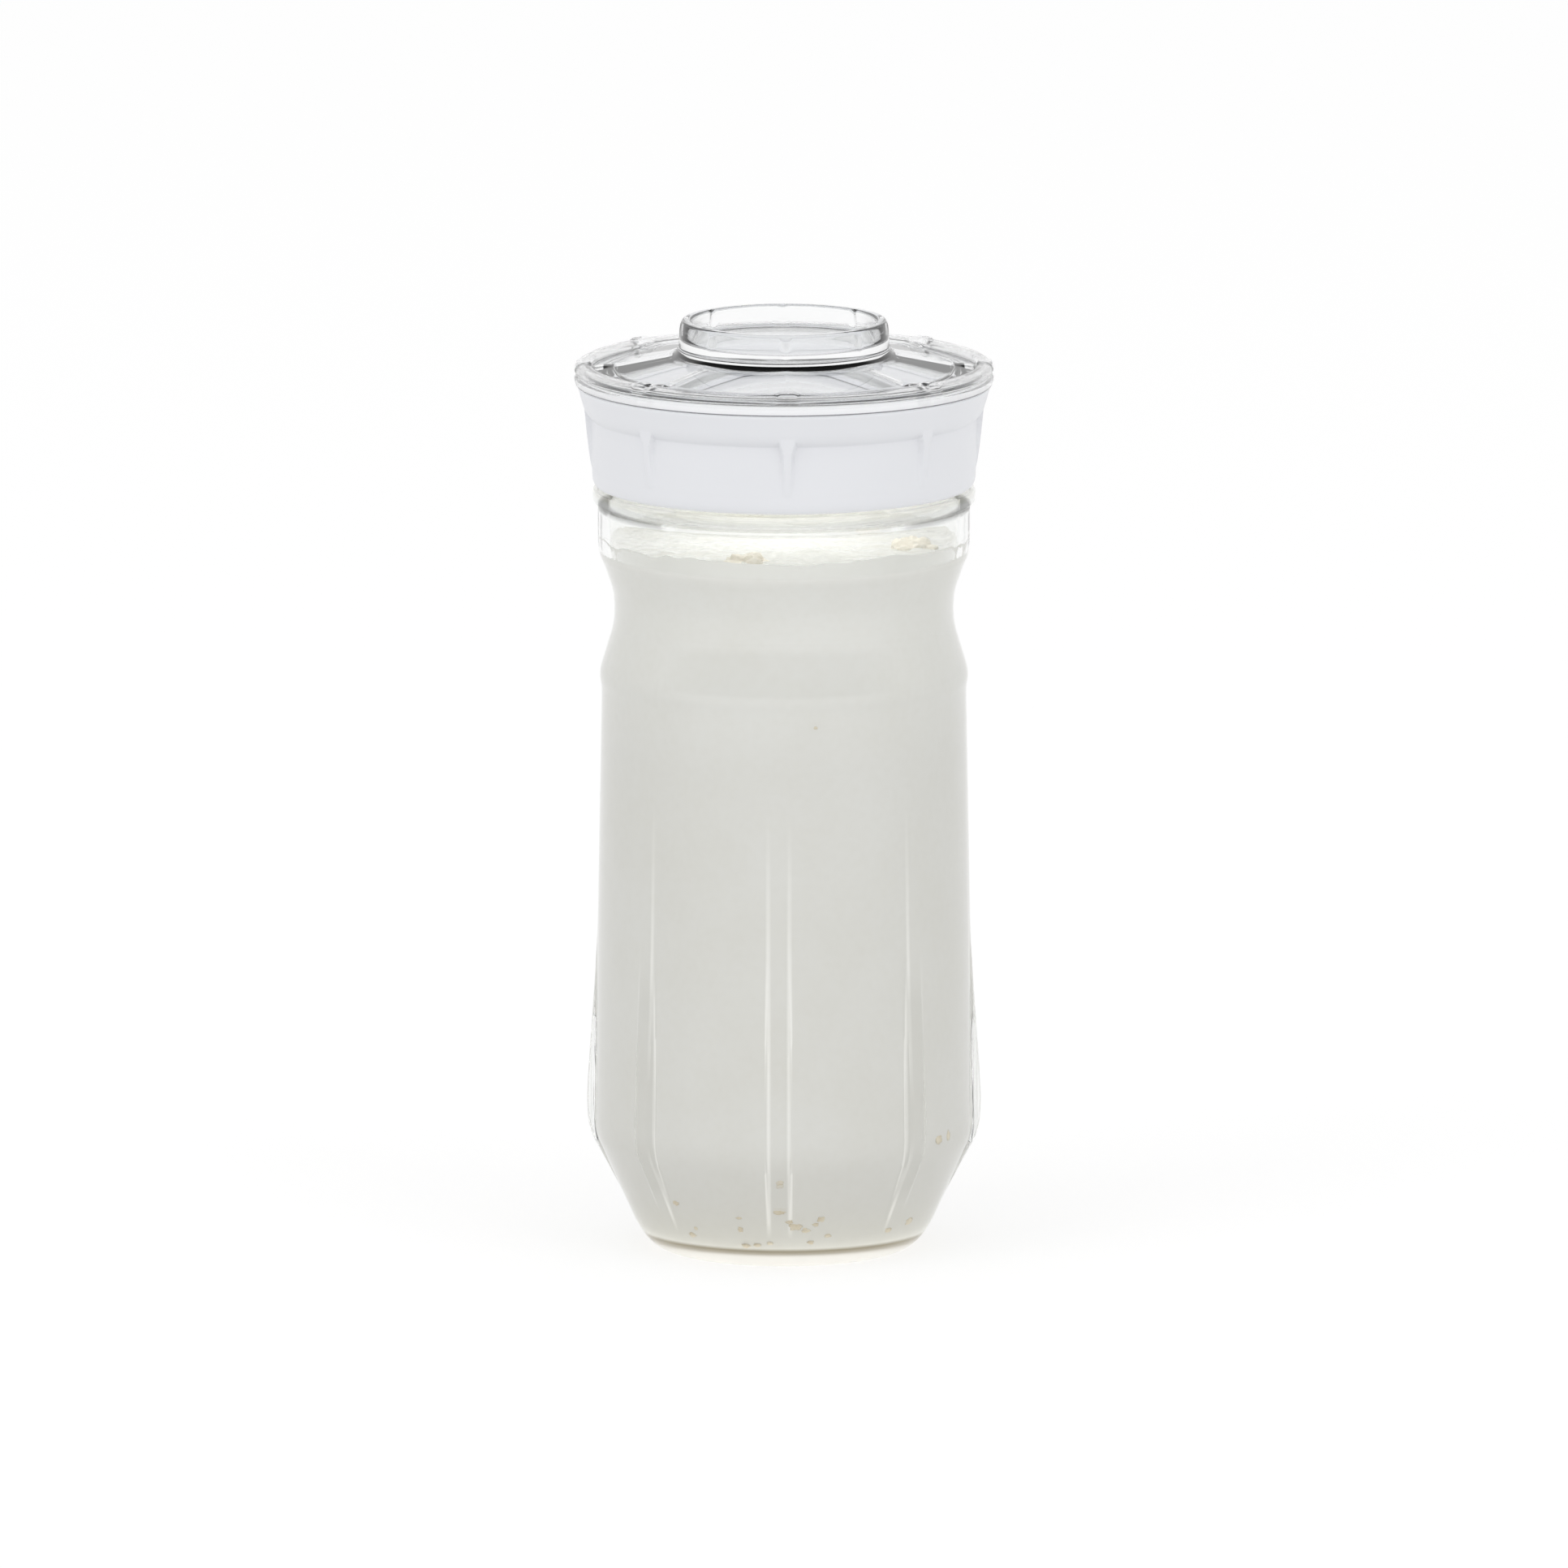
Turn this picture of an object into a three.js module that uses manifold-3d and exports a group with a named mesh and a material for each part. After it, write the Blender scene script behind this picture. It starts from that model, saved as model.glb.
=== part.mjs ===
// Fermentation jar: ribbed glass jar of kefir with a white screw lid, a strainer and a clear turning cover.
// Millimetres, +Z up, origin at the middle of the foot, front rib towards -Y.

import * as THREE from 'three';
import { mergeVertices } from 'three/addons/utils/BufferGeometryUtils.js';
import Module from 'manifold-3d';

const wasm = await Module();
wasm.setup();

// Ribs on the jar, the lid ring and the cover, and the degrees by which the lid is screwed past the jar's
const ribCount = 8;
const lidTurn = 2.7;

// Clearances
const seatGap = 0.3;
const contentGap = 0.3;
const threadRoom = 1.8;

// Jar, radii
const footRadius = 34.6;
const footLand = 2.6;
const heelRadius = 39.4;
const kneeRadius = 50.6;
const kneeEase = 1.3;
const wallTaper = 2.1;
const ridgeProud = 0.5;
const waistRadius = 45.1;
const waistEase = 0.5;
const collarEase = 1.3;
const beadProud = 1.4;
const beadReach = 4.3;
const mouthRadius = 42.6;
const finishWall = 4;

// Jar, heights of its zones from the foot up
const pushUp = 1.2;
const footRise = 6.6;
const heelRise = 21.8;
const kneeRise = 7.6;
const wallRise = 115.5;
const ridgeRise = 6;
const shoulderRise = 9.5;
const waistRise = 11;
const coneRise = 7.4;
const collarRise = 15.1;
const beadRise = 4.4;
const finishRise = 17.1;
const beadRound = 1.1;
const rimRound = 1.2;

// Jar, glass
const glassWall = 3.1;
const baseThickness = 4.5;
const floorRound = 5;
const neckRise = 6;

// Jar, ribs on the lower wall
const jarRibWidth = 6.6;
const jarRibProud = 2;
const jarRibDepth = 1.5;
const jarRibRunUp = 45;
const jarRibTail = 14;

// Kefir and the grains that float on it
const fillAboveCone = 5.2;
const grainCount = 2;
const grainFirstTurn = -14;
const grainSpacing = -90;
const grainRadius = 6;
const grainLobes = 4;
const grainLobeRadius = 3.6;
const grainRise = 1.2;
const grainFromWall = 1.5;

// Lid gasket and strainer
const gasketThickness = 1.7;
const gasketInset = 0.4;
const strainerThickness = 1.8;
const slotRows = 2;
const slotPitch = 11;
const slotFirstRadius = 14;
const slotWidth = 2.2;
const slotsPerRow = 6;
const slotBridge = 3.4;

// Lid ring
const skirtWall = 2.6;
const skirtToBead = 0.7;
const skirtDraft = 0.2;
const skirtRoundHeight = 3.6;
const skirtRoundDepth = 1.9;
const coveHeight = 1.8;
const ledgeReach = 2.2;
const bandHeight = 6.8;
const bandFlare = 1.5;
const bandRound = 0.5;
const webThickness = 2.2;
const webReach = 5.4;
const plugWall = 4.9;
const upstandWall = 1.4;
const upstandRise = 2.5;
const dropRibRadius = 3.4;
const dropRibProud = 2.1;
const dropRibHeight = 15;
const dropRibTip = 0.4;

// Cover seal
const sealWidth = 1.9;
const sealHeight = 3.3;

// Top cover
const rimOverhang = 0.5;
const rimWall = 1.3;
const rimLowerHeight = 3.6;
const rimUpperHeight = 2.3;
const recessWall = 4.4;
const plugSkirtWall = 2.3;
const flangeWall = 1.3;
const flangeDrop = 2.4;
const flangeRise = 4.5;
const panelProud = 0.3;
const panelDepth = 1.2;
const ringFlareRadius = 30.5;
const ringOuterRadius = 28;
const ringDraft = 0.8;
const ringHeight = 9.2;
const ringWall = 2.4;
const ringFlareHeight = 3;
const ringRound = 0.8;
const recessDepth = 6;
const rimRibWidth = 6;
const rimRibProud = 0.4;
const rimRibReach = 9;
const ringRibRadius = 1.3;
const ringRibProud = 0.5;

// Facets
const roundSteps = 36;
const curveSteps = 2;
const sweepSteps = 6;
const sectionSteps = 4;
const ballDetail = 1;
const spare = 4;

// Jar heights that follow from the zones
const heelTop = footRise + heelRise;
const kneeTop = heelTop + kneeRise;
const wallTop = kneeTop + wallRise;
const ridgeTop = wallTop + ridgeRise;
const shoulderTop = ridgeTop + shoulderRise;
const waistTop = shoulderTop + waistRise;
const coneTop = waistTop + coneRise;
const collarTop = coneTop + collarRise;
const beadTop = collarTop + beadRise;
const rimTop = beadTop + finishRise;

// Jar radii that follow from the mouth and the wall
const finishRadius = mouthRadius + finishWall;
const beadRadius = finishRadius + beadReach;
const collarRadius = beadRadius - beadProud;
const heelTopRadius = kneeRadius - kneeEase;
const wallTopRadius = kneeRadius - wallTaper;
const heelSlope = (heelTopRadius - heelRadius) / heelRise;
const heelAt = (z) => heelRadius + (z - footRise) * heelSlope;
const wallAt = (z) => kneeRadius - (wallTaper * (z - kneeTop)) / wallRise;

// Lid stack, from the jar's rim up
const gasketBottom = rimTop + seatGap;
const gasketTop = gasketBottom + gasketThickness;
const strainerBottom = gasketTop + seatGap;
const strainerTop = strainerBottom + strainerThickness;
const webBottom = strainerTop + seatGap;
const webTop = webBottom + webThickness;
const skirtBore = finishRadius + threadRoom;
const skirtRadius = skirtBore + skirtWall;
const skirtBottom = beadTop + skirtToBead;
const bandRadius = skirtRadius + skirtDraft + ledgeReach;
const bandTopRadius = bandRadius + bandFlare;
const sealBottom = webTop + seatGap;
const lidTop = sealBottom + sealHeight + seatGap;
const ledgeZ = lidTop - bandHeight;
const webBore = skirtBore - webReach;
const plugBore = bandTopRadius - plugWall;
const strainerRadius = skirtBore - seatGap;

// Cover sizes that follow from the lid ring, and the upstand on the ring that the cover's rim caps
const sealOuter = plugBore - seatGap;
const sealInner = sealOuter - sealWidth;
const plugOuter = sealInner - seatGap;
const plugInner = plugOuter - plugSkirtWall;
const rimBottom = lidTop + seatGap;
const rimRadius = bandTopRadius + rimOverhang;
const rimMiddle = rimBottom + rimLowerHeight;
const coverRimTop = rimMiddle + rimUpperHeight;
const channelOuter = rimRadius - rimWall;
const upstandRadius = channelOuter - seatGap;
const upstandBore = upstandRadius - upstandWall;
const channelInner = upstandBore - seatGap;
const channelTop = coverRimTop - rimWall;
const upstandTop = lidTop + upstandRise;
const borderRadius = channelInner - rimWall;
const flangeEdgeZ = coverRimTop - flangeDrop;
const flangeTopZ = flangeEdgeZ + flangeRise;
const flangeSlope = flangeRise / (borderRadius - ringOuterRadius);
const flangeAt = (r) => flangeTopZ - (r - ringOuterRadius) * flangeSlope;
const ringTop = flangeTopZ + ringHeight;
const ringTopRadius = ringOuterRadius - ringDraft;
const ringBore = ringTopRadius - ringWall;
const recessFloor = ringTop - recessDepth;

// Closed geometry as a solid for joining and cutting
function solid(geometry) {
  const bare = geometry.clone();
  bare.deleteAttribute('normal');
  bare.deleteAttribute('uv');
  const merged = mergeVertices(bare);
  const corners = merged.index.array;
  const triVerts = [];
  for (let i = 0; i < corners.length; i += 3) {
    const [a, b, c] = corners.slice(i, i + 3);
    if (a !== b && b !== c && c !== a) triVerts.push(a, b, c);
  }
  const vertProperties = merged.attributes.position.array;
  return new wasm.Manifold(
    new wasm.Mesh({ numProp: 3, vertProperties, triVerts: new Uint32Array(triVerts) }),
  );
}

// Solid back to a named mesh
function piece(name, body, material) {
  const { vertProperties, triVerts } = body.getMesh();
  const geometry = new THREE.BufferGeometry();
  geometry.setAttribute('position', new THREE.BufferAttribute(vertProperties, 3));
  geometry.setIndex(new THREE.BufferAttribute(triVerts, 1));
  geometry.computeVertexNormals();
  const mesh = new THREE.Mesh(geometry, new THREE.MeshStandardMaterial(material));
  mesh.name = name;
  return mesh;
}

// Outline of radius and height turned about the Z axis
function revolve(outline, steps = roundSteps) {
  const turned = new THREE.LatheGeometry(outline.getPoints(curveSteps), steps);
  return solid(turned.rotateX(Math.PI / 2));
}

// Upright cylinder between two heights
function disc(radius, bottom, top) {
  const cylinder = new THREE.CylinderGeometry(radius, radius, top - bottom, roundSteps);
  cylinder.rotateX(Math.PI / 2);
  return solid(cylinder.translate(0, 0, (bottom + top) / 2));
}

// Flat ring of rectangular section
function ring(inner, outer, bottom, top) {
  const outline = new THREE.Path();
  outline.moveTo(inner, bottom);
  outline.lineTo(outer, bottom);
  outline.lineTo(outer, top);
  outline.lineTo(inner, top);
  outline.lineTo(inner, bottom);
  return revolve(outline);
}

// Bead of elliptical section that follows points of radius and height in the plane y = 0
function sweptRib(points, width, height) {
  const section = new THREE.Shape();
  section.absellipse(0, 0, width / 2, height, 0, 2 * Math.PI);
  const route = new THREE.CatmullRomCurve3(points.map(([r, z]) => new THREE.Vector3(r, 0, z)));
  const options = { extrudePath: route, steps: sweepSteps, curveSegments: sectionSteps };
  return solid(new THREE.ExtrudeGeometry(section, options));
}

// One rib repeated about the axis and joined to a body
function addRibs(body, rib) {
  let joined = body;
  for (let i = 0; i < ribCount; i += 1) joined = joined.add(rib.rotate([0, 0, (360 * i) / ribCount]));
  return joined;
}

// Side of the jar from the heel to the top of its collar, moved in by a wall or a clearance
function addSide(outline, inset) {
  outline.lineTo(heelTopRadius - inset, heelTop);
  outline.quadraticCurveTo(kneeRadius - inset, heelTop + kneeRise / 3, kneeRadius - inset, kneeTop);
  outline.lineTo(wallTopRadius - inset, wallTop);
  const ridge = wallTopRadius + 2 * ridgeProud - inset;
  outline.quadraticCurveTo(ridge, (wallTop + ridgeTop) / 2, wallTopRadius - inset, ridgeTop);
  outline.lineTo(waistRadius + waistEase - inset, shoulderTop);
  const waist = waistRadius - waistEase - inset;
  outline.quadraticCurveTo(waist, (shoulderTop + waistTop) / 2, waist + 2 * waistEase, waistTop);
  outline.lineTo(collarRadius - collarEase - inset, coneTop);
  const collarMiddle = (coneTop + collarTop) / 2;
  outline.quadraticCurveTo(collarRadius - inset, coneTop + collarEase, collarRadius - inset, collarMiddle);
  outline.lineTo(collarRadius - inset, collarTop);
}

// Hollow of the jar up to its collar, moved in by a clearance
function hollowOutline(gap) {
  const inset = glassWall + gap;
  const floor = baseThickness + gap;
  const outline = new THREE.Path();
  outline.moveTo(0, floor);
  outline.lineTo(heelAt(floor) - inset - floorRound, floor);
  const cornerTop = floor + floorRound;
  outline.quadraticCurveTo(heelAt(floor) - inset, floor, heelAt(cornerTop) - inset, cornerTop);
  addSide(outline, inset);
  return outline;
}

function makeGlassJar() {
  const outer = new THREE.Path();
  outer.moveTo(0, pushUp);
  outer.lineTo(footRadius - footLand - pushUp, pushUp);
  outer.lineTo(footRadius - footLand, 0);
  outer.lineTo(footRadius, 0);
  outer.quadraticCurveTo(heelAt(0), 0, heelRadius, footRise);
  addSide(outer, 0);
  const beadMiddle = (collarTop + beadTop) / 2;
  outer.quadraticCurveTo(beadRadius, collarTop + beadProud, beadRadius, beadMiddle);
  outer.lineTo(beadRadius, beadTop - beadRound);
  outer.quadraticCurveTo(beadRadius, beadTop, beadRadius - beadRound, beadTop);
  outer.lineTo(finishRadius, beadTop);
  outer.lineTo(finishRadius, rimTop - rimRound);
  outer.quadraticCurveTo(finishRadius, rimTop, finishRadius - rimRound, rimTop);
  outer.lineTo(0, rimTop);

  const hollow = hollowOutline(0);
  hollow.quadraticCurveTo(mouthRadius, collarTop, mouthRadius, collarTop + neckRise);
  hollow.lineTo(mouthRadius, rimTop + spare);
  hollow.lineTo(0, rimTop + spare);

  // Crest of a rib: it leaves the wall, follows the knee and sinks back into the heel
  const crest = jarRibProud - jarRibDepth;
  const runUpTop = kneeTop + jarRibRunUp;
  const tailTop = heelTop - jarRibTail;
  const route = [
    [wallAt(runUpTop) - jarRibDepth, runUpTop],
    [wallAt(kneeTop + jarRibRunUp / 2) - jarRibDepth / 2 + crest, kneeTop + jarRibRunUp / 2],
    [kneeRadius + crest, kneeTop],
    [heelTopRadius + crest, heelTop],
    [heelAt(tailTop) - jarRibDepth, tailTop],
  ];
  const rib = sweptRib(route, jarRibWidth, jarRibDepth);
  const glass = addRibs(revolve(outer), rib).subtract(revolve(hollow));
  return piece('glass_jar', glass, { color: 0xeef2ee, roughness: 0.05, transparent: true, opacity: 0.35 });
}

// Lumps of one floating grain, grown by a clearance so that its pocket matches
function grainLump(index, level, gap) {
  const orbit = collarRadius - glassWall - contentGap - grainRadius - grainLobeRadius - grainFromWall;
  const turn = THREE.MathUtils.degToRad(grainFirstTurn + grainSpacing * index);
  const middle = new THREE.Vector3(orbit * Math.cos(turn), orbit * Math.sin(turn), level);
  const ball = (radius, place) => {
    const sphere = new THREE.IcosahedronGeometry(radius + gap, ballDetail);
    return solid(sphere.translate(place.x, place.y, place.z));
  };
  let lump = ball(grainRadius, middle.clone().setZ(level - grainRadius + grainLobeRadius));
  for (let i = 0; i < grainLobes; i += 1) {
    const swing = turn + (2 * Math.PI * i) / grainLobes;
    const offset = new THREE.Vector3(Math.cos(swing), Math.sin(swing), 0).multiplyScalar(grainRadius);
    const place = middle.clone().add(offset).setZ(level - grainLobeRadius + grainRise * (1 + (i % 2)));
    lump = lump.add(ball(grainLobeRadius, place));
  }
  return lump;
}

// Kefir up to its level, with a pocket for each grain
function makeContents() {
  const level = coneTop + fillAboveCone;
  const outline = hollowOutline(contentGap);
  outline.lineTo(0, collarTop);
  let kefir = revolve(outline).intersect(disc(kneeRadius, 0, level));
  const grains = [];
  for (let i = 0; i < grainCount; i += 1) {
    kefir = kefir.subtract(grainLump(i, level, contentGap));
    const lump = grainLump(i, level, 0);
    grains.push(piece(`kefir_grain_${i + 1}`, lump, { color: 0xe6dcc4, roughness: 0.6 }));
  }
  return [piece('kefir_milk', kefir, { color: 0xe9e7df, roughness: 0.5 }), ...grains];
}

function makeLidGasket() {
  const body = ring(mouthRadius + gasketInset, finishRadius - gasketInset, gasketBottom, gasketTop);
  return piece('lid_gasket', body, { color: 0xe4e6e8, roughness: 0.7 });
}

// One curved slot of the strainer, cut right through
function slotCut(middle, turn, half) {
  const slot = new THREE.Shape();
  slot.absarc(0, 0, middle + slotWidth / 2, turn - half, turn + half);
  slot.absarc(0, 0, middle - slotWidth / 2, turn + half, turn - half, true);
  const depth = strainerThickness + 2 * spare;
  const cut = new THREE.ExtrudeGeometry(slot, { depth, bevelEnabled: false, curveSegments: curveSteps });
  return solid(cut.translate(0, 0, strainerBottom - spare));
}

// Slotted disc: rows of curved slots, more of them in each row further out
function makeStrainer() {
  let plate = disc(strainerRadius, strainerBottom, strainerTop);
  for (let row = 0; row < slotRows; row += 1) {
    const middle = slotFirstRadius + row * slotPitch;
    const count = slotsPerRow * (row + 1);
    const half = Math.PI / count - slotBridge / middle / 2;
    for (let i = 0; i < count; i += 1) {
      const turn = (2 * Math.PI * i) / count;
      plate = plate.subtract(slotCut(middle, turn, half));
    }
  }
  return piece('strainer_disc', plate, { color: 0xf1f2f4, roughness: 0.45 });
}

// White lid ring: rounded skirt, drop-shaped ribs, ledge, flared band, upstand and an inner web
function makeLidRing() {
  const outline = new THREE.Path();
  outline.moveTo(skirtBore, skirtBottom);
  outline.lineTo(skirtRadius - skirtRoundDepth, skirtBottom);
  outline.quadraticCurveTo(skirtRadius, skirtBottom, skirtRadius, skirtBottom + skirtRoundHeight);
  const coveRadius = skirtRadius + skirtDraft;
  outline.lineTo(coveRadius, ledgeZ - coveHeight);
  outline.lineTo(bandRadius, ledgeZ);
  outline.lineTo(bandTopRadius, lidTop - bandRound);
  outline.quadraticCurveTo(bandTopRadius, lidTop, bandTopRadius - bandRound, lidTop);
  outline.lineTo(upstandRadius, lidTop);
  outline.lineTo(upstandRadius, upstandTop);
  outline.lineTo(upstandBore, upstandTop);
  outline.lineTo(upstandBore, lidTop);
  outline.lineTo(plugBore, lidTop);
  outline.lineTo(plugBore, webTop);
  outline.lineTo(webBore, webTop);
  outline.lineTo(webBore, webBottom);
  outline.lineTo(skirtBore, webBottom);
  outline.lineTo(skirtBore, skirtBottom);

  const drop = new THREE.CylinderGeometry(dropRibRadius, dropRibTip, dropRibHeight, 2 * sectionSteps);
  drop.rotateX(Math.PI / 2);
  drop.scale(dropRibProud / dropRibRadius, 1, 1);
  drop.translate(skirtRadius, 0, ledgeZ - dropRibHeight / 2 + bandRound);
  const body = addRibs(revolve(outline), solid(drop));
  return piece('lid_ring', body.rotate([0, 0, lidTurn]), { color: 0xe6e8ec, roughness: 0.35 });
}

function makeCoverSeal() {
  const body = ring(sealInner, sealOuter, sealBottom, sealBottom + sealHeight);
  return piece('cover_seal', body, { color: 0xe8eaec, roughness: 0.6 });
}

// Clear cover: channelled rim, eight-sided flange, raised ring with a recess, and a plug skirt
function makeTopCover() {
  const outline = new THREE.Path();
  outline.moveTo(0, recessFloor);
  outline.lineTo(0, recessFloor - recessWall);
  outline.lineTo(ringBore, recessFloor - recessWall);
  outline.lineTo(ringFlareRadius, flangeAt(ringFlareRadius) - flangeWall);
  outline.lineTo(plugInner, flangeAt(plugInner) - flangeWall);
  outline.lineTo(plugInner, sealBottom);
  outline.lineTo(plugOuter, sealBottom);
  outline.lineTo(plugOuter, flangeAt(plugOuter) - flangeWall);
  outline.lineTo(channelInner, flangeEdgeZ - flangeWall);
  outline.lineTo(channelOuter, flangeEdgeZ - flangeWall);
  outline.lineTo(channelOuter, rimBottom);
  outline.lineTo(rimRadius, rimBottom);
  outline.lineTo(rimRadius, rimMiddle);
  const crown = (rimRadius + borderRadius) / 2;
  outline.quadraticCurveTo(rimRadius, coverRimTop, crown, coverRimTop);
  outline.quadraticCurveTo(borderRadius, coverRimTop, borderRadius, rimMiddle);
  outline.lineTo(borderRadius, flangeEdgeZ - panelProud);
  outline.lineTo(ringFlareRadius, flangeAt(ringFlareRadius) - panelProud);
  const flareTop = flangeTopZ + ringFlareHeight;
  outline.quadraticCurveTo(ringOuterRadius, flangeTopZ, ringOuterRadius, flareTop);
  outline.lineTo(ringTopRadius, ringTop - ringRound);
  outline.quadraticCurveTo(ringTopRadius, ringTop, ringTopRadius - ringRound, ringTop);
  outline.lineTo(ringBore + ringRound, ringTop);
  outline.quadraticCurveTo(ringBore, ringTop, ringBore, ringTop - ringRound);
  outline.lineTo(ringBore, recessFloor + ringRound);
  outline.quadraticCurveTo(ringBore, recessFloor, ringBore - ringRound, recessFloor);
  outline.lineTo(0, recessFloor);

  // Eight flat panels with creases in line with the ribs, trimmed round inside the rim
  const acrossFlats = Math.cos(Math.PI / ribCount);
  const creaseAt = (r) => flangeAt(r * acrossFlats);
  const panels = new THREE.Path();
  panels.moveTo(ringOuterRadius / acrossFlats, flangeTopZ - panelProud);
  panels.lineTo(ringFlareRadius / acrossFlats, flangeAt(ringFlareRadius) - panelDepth);
  panels.lineTo(borderRadius / acrossFlats, flangeEdgeZ - panelDepth);
  panels.lineTo(borderRadius / acrossFlats, flangeEdgeZ);
  panels.lineTo(ringOuterRadius / acrossFlats, flangeTopZ);
  panels.lineTo(ringOuterRadius / acrossFlats, flangeTopZ - panelProud);
  const trim = disc(borderRadius + rimWall / 2, flangeEdgeZ - spare, ringTop);
  const flange = revolve(panels, ribCount).intersect(trim);

  const rimRibEnd = crown - rimRibReach;
  const rimRoute = [
    [rimRadius - rimRibProud, rimBottom + rimLowerHeight / 2],
    [rimRadius - rimRibProud, rimMiddle],
    [crown, coverRimTop - rimRibProud],
    [borderRadius, (coverRimTop + creaseAt(borderRadius)) / 2],
    [rimRibEnd, creaseAt(rimRibEnd) - 2 * rimRibProud],
  ];
  const rimRib = sweptRib(rimRoute, rimRibWidth, 2 * rimRibProud);
  const ringRibHeight = ringHeight - ringRound;
  const ringRib = new THREE.CylinderGeometry(ringRibRadius, ringRibRadius, ringRibHeight, 2 * sectionSteps);
  ringRib.rotateX(Math.PI / 2);
  ringRib.translate(ringOuterRadius + ringRibProud - ringRibRadius, 0, flangeTopZ + ringRibHeight / 2);
  let body = revolve(outline).add(flange);
  body = addRibs(body, rimRib).subtract(ring(channelInner, channelOuter, rimBottom - spare, channelTop));
  body = addRibs(body, solid(ringRib)).rotate([0, 0, lidTurn]);
  return piece('top_cover', body, { color: 0xf4f6f8, roughness: 0.08, transparent: true, opacity: 0.35 });
}

const fermentationJar = new THREE.Group();
fermentationJar.add(makeGlassJar());
fermentationJar.add(...makeContents());
fermentationJar.add(makeLidGasket());
fermentationJar.add(makeStrainer());
fermentationJar.add(makeLidRing());
fermentationJar.add(makeCoverSeal());
fermentationJar.add(makeTopCover());

export default fermentationJar;
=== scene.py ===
"""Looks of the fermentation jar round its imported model: glass, kefir, lid ring, strainer and clear cover."""

import math

import bmesh
import bpy
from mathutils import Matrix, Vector, noise


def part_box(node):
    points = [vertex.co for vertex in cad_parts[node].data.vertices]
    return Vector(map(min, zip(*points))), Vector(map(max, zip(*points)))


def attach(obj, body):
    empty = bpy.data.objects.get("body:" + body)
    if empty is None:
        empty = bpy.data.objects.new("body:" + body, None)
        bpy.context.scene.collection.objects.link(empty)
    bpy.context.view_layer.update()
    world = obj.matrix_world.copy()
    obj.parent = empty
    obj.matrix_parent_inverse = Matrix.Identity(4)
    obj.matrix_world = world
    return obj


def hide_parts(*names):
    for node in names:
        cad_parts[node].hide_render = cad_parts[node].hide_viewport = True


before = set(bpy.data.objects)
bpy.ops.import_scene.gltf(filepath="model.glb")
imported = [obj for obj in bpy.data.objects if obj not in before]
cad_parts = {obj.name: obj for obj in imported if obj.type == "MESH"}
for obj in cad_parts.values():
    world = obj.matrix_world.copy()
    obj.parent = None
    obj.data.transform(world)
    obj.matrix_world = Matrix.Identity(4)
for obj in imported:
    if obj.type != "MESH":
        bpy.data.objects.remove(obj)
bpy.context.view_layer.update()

# Sizes are in millimetres, as in the CAD source, and each outline is a list of points of radius and height
MM = 0.001
FULL_TURN = 2 * math.pi
RIBS = 8
STEP = FULL_TURN / RIBS
LID_TURN = math.radians(2.7)
THREAD_PITCH = 6.0
THREAD_HALF = 1.5

# Jar
GLASS_WALL = 3.1
JAR_FLOOR = 4.5
FLOOR_BEND = 5
HEEL_LOW = (39.4, 6.6)
KNEE = (49.3, 28.4)
HEEL_SLOPE = (KNEE[0] - HEEL_LOW[0]) / (KNEE[1] - HEEL_LOW[1])
WALL_RADIUS = 50.6
WALL_LOW = 36.0
WALL_TOP = (48.5, 151.5)
COLLAR_RADIUS = 49.5
COLLAR_TOP = 200.5
BEAD_RADIUS = 50.9
BEAD_TOP = 204.9
FINISH_RADIUS = 46.6
FINISH_LOW = 205.7
MOUTH_RADIUS = 42.6
RIM_TOP = 222.0
JAR_THREAD_LOW = 208.2
JAR_THREAD_TURNS = 1.4
# How far a rib stands out at each height
RIB_HEIGHT = [
    (12, 0), (20, 0.4), (28, 1.1), (35, 1.75), (40, 2.0), (47, 1.8), (60, 1.15), (75, 0.4), (90, 0),
]
RIB_HALF = 3.65
RIB_FLANK = 1.2

# Kefir
MILK_OVERLAP = 0.1
MILK_LEVEL = 190.6
MILK_CREEP = 1.4
MILK_EASE = 3
# Outer radius of the jar where the kefir's surface meets it
MILK_COLLAR = 49.4
# Waves of the surface: height, size and seed
MILK_WAVES = [(0.7, 15, 3.1), (0.45, 5, 7.7), (0.2, 2.2, 1.3)]
# Crumbs: where each shows across and up the front, half its width and half its height
CRUMBS = [
    (0.4, 25.0, 1.4, 0.9), (-27.8, 17.6, 1.4, 1.0), (-23.4, 8.8, 1.4, 0.9), (-10.8, 15.0, 1.1, 0.6),
    (0.0, 17.0, 2.2, 0.8), (4.4, 12.6, 2.2, 1.5), (2.6, 14.2, 1.2, 0.9), (6.8, 11.6, 1.4, 0.9),
    (11.0, 14.8, 1.4, 1.2), (9.6, 13.2, 1.2, 0.8), (12.6, 9.8, 1.2, 0.8), (-9.0, 6.9, 1.3, 0.7),
    (-6.0, 7.2, 1.2, 0.6), (-2.6, 7.8, 1.1, 0.6), (28.6, 9.6, 1.6, 1.0), (34.0, 11.0, 1.8, 1.3),
    (42.0, 33.4, 1.7, 1.4), (44.4, 33.8, 1.1, 1.5), (9.9, 148.0, 0.7, 0.5), (-22.4, 10.8, 0.9, 0.6),
    (8.2, 8.0, 1.0, 0.7), (-10.4, 11.6, 0.9, 1.2),
]
CRUMB_THICK = 0.34
# How far a crumb on the heel faces down, for each step outwards
CRUMB_LEAN = 0.454
# How far the glass bends what is seen through it
SEEN_BEND = 1.5

# Lid
STRAINER_RADIUS = 48.1
STRAINER_MIDDLE = 225.2
STRAINER_THICK = 1.8
STRAINER_EASING = 0.25
SLOT_WIDTH = 2.2
SLOT_BRIDGE = 3.4
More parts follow.
